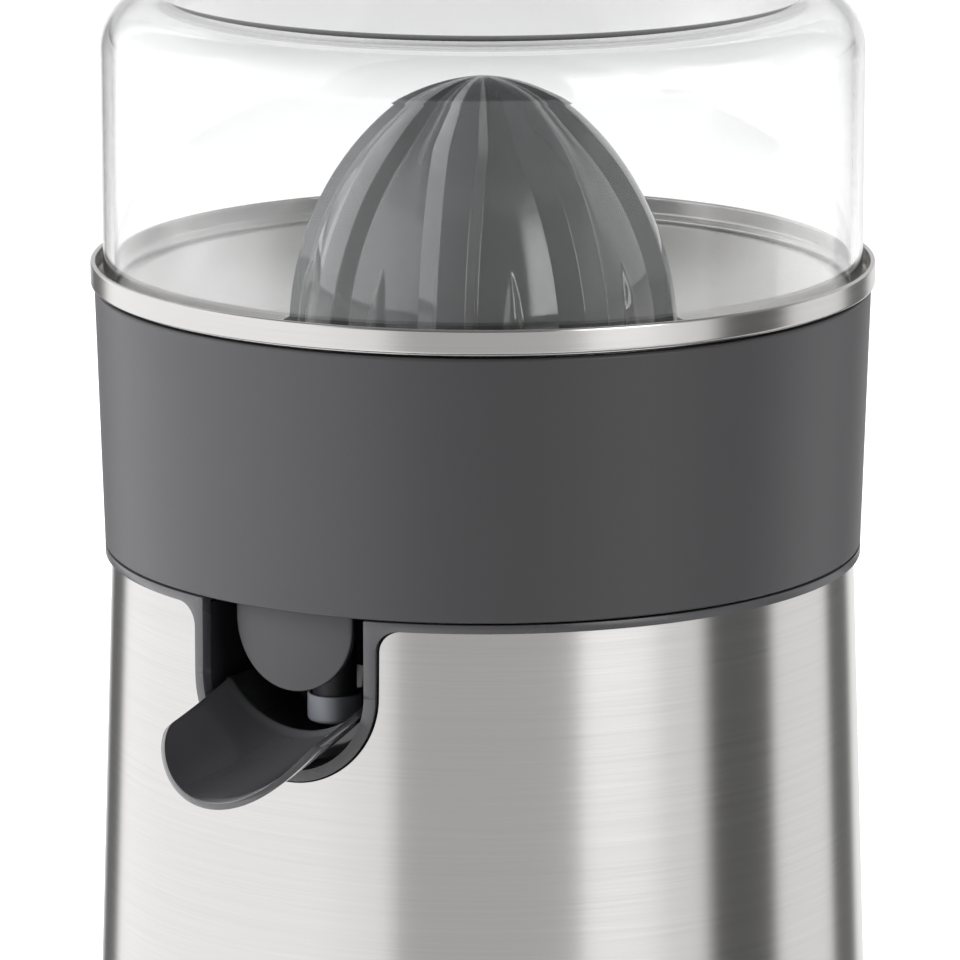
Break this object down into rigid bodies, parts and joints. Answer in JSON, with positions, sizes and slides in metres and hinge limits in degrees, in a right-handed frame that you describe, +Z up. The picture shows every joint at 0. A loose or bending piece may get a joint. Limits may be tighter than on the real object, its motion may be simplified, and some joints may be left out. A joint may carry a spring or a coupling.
{
  "type": "citrus press juicer",
  "caption": "Electric citrus press: steel motor base, grey juice collector with open spout, dished steel pan, ribbed reamer and clear cover.",
  "frame": {"origin": "on the press's turning axis, in the plane of the bottom cover's underside; the feet stand 2.5 mm lower", "axes": "+Z up along the turning axis, -Y towards the spout, +X to the right when facing the back from the spout's side"},
  "size_m": [0.1644, 0.1884, 0.267],
  "materials": {
    "clear_cover": "clear, polished plastic",
    "brushed_steel": "fine circumferential brushing",
    "bright_steel": "plain turned or plated steel",
    "band_grey": "fine matt texture",
    "gloss_grey": "polished",
    "dark_gloss": "satin to gloss",
    "inner_grey": "plain moulded",
    "silicone": "soft satin",
    "rubber": "matt",
    "nylon": "plain moulded",
    "copper": "wound wire",
    "ferrite": "plain",
    "board": "solder mask"
  },
  "bodies": {
    "base": {"base_shell": "brushed_steel", "base_collar": "dark_gloss", "spout_niche": "dark_gloss", "motor_deck": "inner_grey", "bottom_cover": "inner_grey", "foot_1": "rubber", "foot_2": "rubber", "foot_3": "rubber", "foot_4": "rubber", "cover_screw_1": "bright_steel", "cover_screw_2": "bright_steel", "cover_screw_3": "bright_steel", "cover_screw_4": "bright_steel", "cord_inlet": "rubber", "upper_bush": "nylon", "shaft_seal": "rubber", "gearbox_housing": "inner_grey", "gearbox_lid": "inner_grey", "idler_axle": "bright_steel", "motor_can": "bright_steel", "motor_end_cap": "dark_gloss", "magnet_1": "ferrite", "magnet_2": "ferrite", "micro_switch": "dark_gloss", "switch_bracket": "bright_steel", "circuit_board": "board", "terminal_block": "nylon", "board_holder": "inner_grey", "return_spring": "bright_steel"},
    "collector": {"juice_collector": "band_grey", "nozzle_tip": "silicone"},
    "pan": {"steel_pan": "brushed_steel"},
    "strainer": {"strainer": "gloss_grey"},
    "cover": {"dust_cover": "clear_cover"},
    "reamer_seat": {"thrust_washer": "nylon"},
    "reamer": {"reamer": "gloss_grey"},
    "press": {"thrust_cap": "nylon"},
    "spindle": {"drive_spindle": "bright_steel"},
    "output_gear": {"output_gear": "nylon"},
    "idler_gear": {"idler_gear": "nylon"},
    "armature": {"motor_rotor": "copper", "motor_shaft": "bright_steel", "motor_pinion": "bright_steel"},
    "switch_lever": {"switch_lever": "bright_steel"},
    "spout": {"spout": "dark_gloss"}
  },
  "joints": [
    {"name": "spindle_press", "type": "slide", "parent": "base", "child": "press", "axis": [0, 0, 1], "range_m": [-0.001, 0], "stiffness_N_per_m": 3000, "springref_m": 0.003, "deforming": ["return_spring"]},
    {"name": "spindle_spin", "type": "hinge", "parent": "press", "child": "spindle", "pos_m": [0, 0, 0.16], "axis": [0, 0, 1], "continuous": true},
    {"name": "output_gear_spin", "type": "hinge", "parent": "base", "child": "output_gear", "pos_m": [0, 0, 0.125], "axis": [0, 0, 1], "continuous": true},
    {"name": "idler_spin", "type": "hinge", "parent": "base", "child": "idler_gear", "pos_m": [0.02121, 0.02121, 0.13], "axis": [0, 0, 1], "continuous": true},
    {"name": "motor_spin", "type": "hinge", "parent": "base", "child": "armature", "pos_m": [0.004, 0.03139, 0.1], "axis": [0, 0, 1], "continuous": true},
    {"name": "lever_swing", "type": "hinge", "parent": "base", "child": "switch_lever", "pos_m": [0, -0.0195, 0.1038], "axis": [1, 0, 0], "range_deg": [-3.5, 0]},
    {"name": "spout_tilt", "type": "hinge", "parent": "base", "child": "spout", "pos_m": [0, -0.049, 0.1255], "axis": [-1, 0, 0], "range_deg": [0, 14]},
    {"name": "collector_lift", "type": "slide", "parent": "base", "child": "collector", "axis": [0, 0, 1], "range_m": [0, 0.09]},
    {"name": "pan_lift", "type": "slide", "parent": "collector", "child": "pan", "axis": [0, 0, 1], "range_m": [0, 0.06]},
    {"name": "strainer_lift", "type": "slide", "parent": "pan", "child": "strainer", "axis": [0, 0, 1], "range_m": [0, 0.05]},
    {"name": "cover_lift", "type": "slide", "parent": "strainer", "child": "cover", "axis": [0, 0, 1], "range_m": [0, 0.09]},
    {"name": "reamer_press", "type": "slide", "parent": "strainer", "child": "reamer_seat", "axis": [0, 0, 1], "range_m": [-0.001, 0]},
    {"name": "reamer_spin", "type": "hinge", "parent": "reamer_seat", "child": "reamer", "pos_m": [0, 0, 0.2], "axis": [0, 0, 1], "continuous": true}
  ],
  "couplings": [
    {"joint": "reamer_press", "follows": "spindle_press", "ratio": 1},
    {"joint": "lever_swing", "follows": "spindle_press", "rad_per_m": 51.282},
    {"joint": "spindle_spin", "follows": "motor_spin", "ratio": 0.0625},
    {"joint": "reamer_spin", "follows": "motor_spin", "ratio": 0.0625},
    {"joint": "output_gear_spin", "follows": "motor_spin", "ratio": 0.0625},
    {"joint": "idler_spin", "follows": "motor_spin", "ratio": -0.25}
  ]
}
